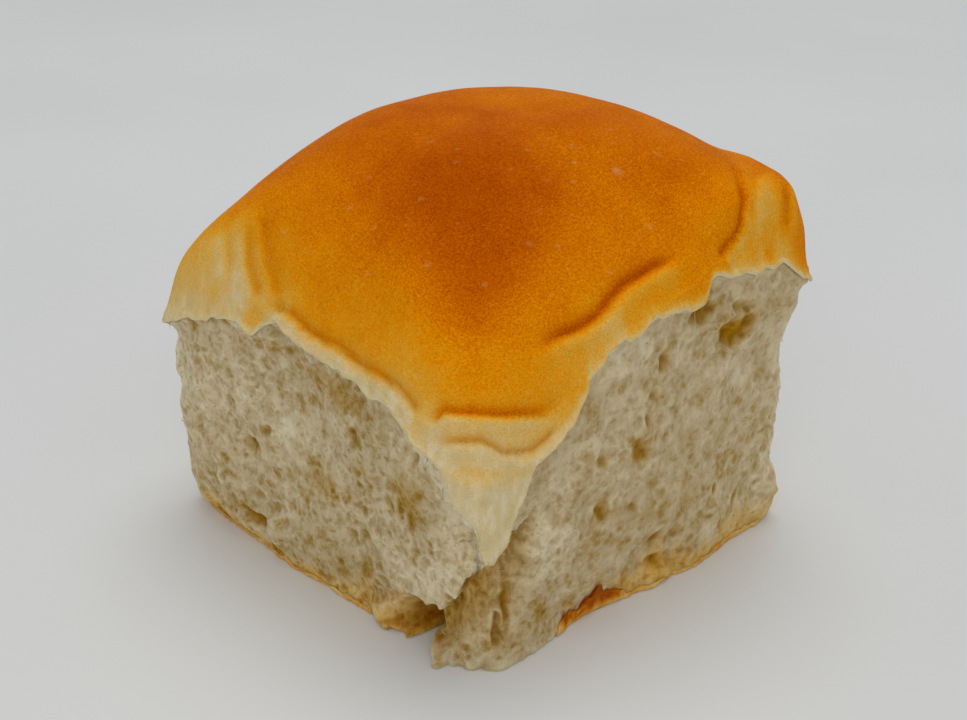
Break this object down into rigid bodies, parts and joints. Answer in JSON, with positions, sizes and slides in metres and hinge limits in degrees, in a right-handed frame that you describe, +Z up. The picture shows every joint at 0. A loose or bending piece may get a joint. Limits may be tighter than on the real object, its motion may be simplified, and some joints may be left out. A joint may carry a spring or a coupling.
{
  "type": "bread roll",
  "caption": "Soft square white bread roll pulled from a tray: domed browned top crust with a pale folded skirt, torn crumb sides and a flat thin base.",
  "frame": {"origin": "middle of the flat underside, on the surface that the roll stands on", "axes": "+Z up through the dome; the torn sides face +X, +Y, -X and -Y; the tongue of crust that hangs lowest is at the +X-Y corner"},
  "size_m": [0.0663, 0.0663, 0.061],
  "materials": {
    "crust": "smooth thin baked skin, satin, deep golden brown on the dome and pale cream at the skirts and the torn rim",
    "crumb": "torn open crumb, matte and soft, off-white cell walls over warmer hollows",
    "base_crust": "thin dry browned underside, matte, golden with darker patches"
  },
  "bodies": {
    "root": {"bread_roll": "crust"}
  },
  "joints": []
}
